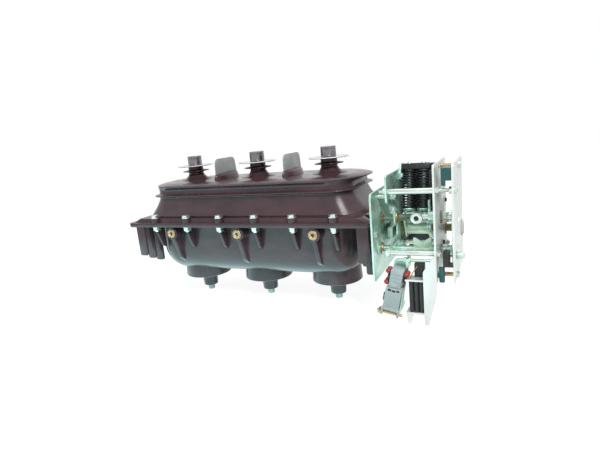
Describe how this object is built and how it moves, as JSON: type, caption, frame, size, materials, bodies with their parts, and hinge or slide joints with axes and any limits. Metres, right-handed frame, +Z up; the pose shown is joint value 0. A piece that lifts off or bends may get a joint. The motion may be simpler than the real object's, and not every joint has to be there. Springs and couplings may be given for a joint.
{
  "type": "switch disconnector",
  "caption": "Three-phase load-break switch disconnector: cast epoxy tank with upper and lower bushings, and a spring mechanism between steel plates at one end.",
  "frame": {"origin": "centre of the flange joint plane, under the middle phase and midway between the four corner holes", "axes": "+X along the phases towards the mechanism, -Y to the front side with the operating rods nearest, +Z up"},
  "size_m": [0.8976, 0.345, 0.41],
  "materials": {
    "epoxy": "glossy cast epoxy",
    "barrier_plastic": "satin",
    "disc_aluminium": "satin",
    "dark_terminal": "silvered, tarnished dark",
    "terminal_silver": "silvered",
    "bright_zinc": "bright zinc",
    "zinc_steel": "clear zinc plate",
    "yoke_zinc": "olive passivated zinc",
    "white_steel": "pale zinc",
    "relief_steel": "thin sheet",
    "brass": "plain",
    "copper": "silver-plated copper at the contact faces",
    "spring_steel": "black oil finish",
    "shaft_resin": "glass-filled resin",
    "bearing_plastic": "plain",
    "indicator_plastic": "plain",
    "grey_plastic": "plain",
    "red_plastic": "plain",
    "black_plastic": "plain",
    "teal_plastic": "plain",
    "seal_rubber": "plain"
  },
  "bodies": {
    "tank_and_frame": {"aux_bracket": "zinc_steel", "aux_switch_lower": "grey_plastic", "aux_switch_upper": "grey_plastic", "aux_terminals": "red_plastic", "bearing_plate": "zinc_steel", "buffer": "teal_plastic", "coil_block": "black_plastic", "coil_frame": "white_steel", "earth_bar": "copper", "field_disc_1": "disc_aluminium", "field_disc_2": "disc_aluminium", "field_disc_3": "disc_aluminium", "filling_valve": "brass", "flange_bolts": "bright_zinc", "flange_seal": "seal_rubber", "front_plate": "white_steel", "front_spacers": "bright_zinc", "inner_plate": "white_steel", "interlock_switch_lower": "black_plastic", "interlock_switch_upper": "teal_plastic", "lower_housing": "epoxy", "lower_terminal_1": "terminal_silver", "lower_terminal_2": "terminal_silver", "lower_terminal_3": "terminal_silver", "mounting_plate": "zinc_steel", "phase_barrier_1": "barrier_plastic", "phase_barrier_2": "barrier_plastic", "plate_fasteners": "bright_zinc", "rear_screen": "black_plastic", "relief_disc": "relief_steel", "relief_ring": "zinc_steel", "shaft_bearings": "bearing_plastic", "shaft_bushes": "brass", "shaft_seal": "seal_rubber", "side_inserts": "brass", "spring_bracket": "zinc_steel", "tie_rods": "bright_zinc", "upper_housing": "epoxy", "upper_terminal_1": "dark_terminal", "upper_terminal_2": "dark_terminal", "upper_terminal_3": "dark_terminal"},
    "main_shaft_body": {"main_shaft": "shaft_resin", "moving_contact_1": "copper", "moving_contact_2": "copper", "moving_contact_3": "copper", "main_crank": "zinc_steel", "position_indicator": "indicator_plastic"},
    "switch_shaft_body": {"switch_shaft": "bright_zinc", "drive_lever": "zinc_steel"},
    "yoke_body": {"spring_yoke": "yoke_zinc"},
    "guide_body": {"spring_guide": "zinc_steel", "main_spring_1": "spring_steel", "main_spring_2": "spring_steel"},
    "trunnion_body": {"spring_trunnion": "spring_steel"},
    "link_body": {"drive_link": "zinc_steel"},
    "earth_shaft_body": {"earth_shaft": "zinc_steel", "locking_catch": "yoke_zinc"},
    "slide_body": {"interlock_slide": "zinc_steel"},
    "rotor_body": {"aux_rotor": "brass"}
  },
  "joints": [
    {"name": "main_shaft_turn", "type": "hinge", "parent": "tank_and_frame", "child": "main_shaft_body", "pos_m": [0.43, 0, -0.04], "axis": [1, 0, 0], "range_deg": [-50, 50]},
    {"name": "switch_shaft_turn", "type": "hinge", "parent": "tank_and_frame", "child": "switch_shaft_body", "pos_m": [0.44, -0.072, 0], "axis": [-1, 0, 0], "range_deg": [0, 80]},
    {"name": "yoke_turn", "type": "hinge", "parent": "tank_and_frame", "child": "yoke_body", "pos_m": [0.43, 0, -0.04], "axis": [-1, 0, 0], "range_deg": [0, 80]},
    {"name": "guide_turn", "type": "hinge", "parent": "yoke_body", "child": "guide_body", "pos_m": [0.43, -0.02892, -0.00553], "axis": [1, 0, 0], "range_deg": [0, 108.6], "deforming": ["main_spring_1", "main_spring_2"]},
    {"name": "trunnion_turn", "type": "hinge", "parent": "tank_and_frame", "child": "trunnion_body", "pos_m": [0.43, 0, 0.108], "axis": [1, 0, 0], "range_deg": [0, 28.6]},
    {"name": "link_turn", "type": "hinge", "parent": "switch_shaft_body", "child": "link_body", "pos_m": [0.463, -0.06742, -0.02356], "axis": [1, 0, 0], "range_deg": [0, 80]},
    {"name": "earth_shaft_turn", "type": "hinge", "parent": "tank_and_frame", "child": "earth_shaft_body", "pos_m": [0.44, -0.084, -0.072], "axis": [1, 0, 0], "range_deg": [0, 90]},
    {"name": "slide_lift", "type": "slide", "parent": "tank_and_frame", "child": "slide_body", "axis": [0, 0, 1], "range_m": [0, 0.072]},
    {"name": "rotor_turn", "type": "hinge", "parent": "tank_and_frame", "child": "rotor_body", "pos_m": [0.39113, -0.174, -0.19454], "axis": [0.9781, 0, -0.2079], "range_deg": [-50, 50]}
  ],
  "couplings": [
    {"joint": "yoke_turn", "follows": "switch_shaft_turn", "ratio": 1},
    {"joint": "guide_turn", "follows": "switch_shaft_turn", "ratio": 1.3574},
    {"joint": "trunnion_turn", "follows": "switch_shaft_turn", "ratio": 0.35735},
    {"joint": "link_turn", "follows": "switch_shaft_turn", "ratio": 1},
    {"joint": "rotor_turn", "follows": "main_shaft_turn", "ratio": 1}
  ]
}
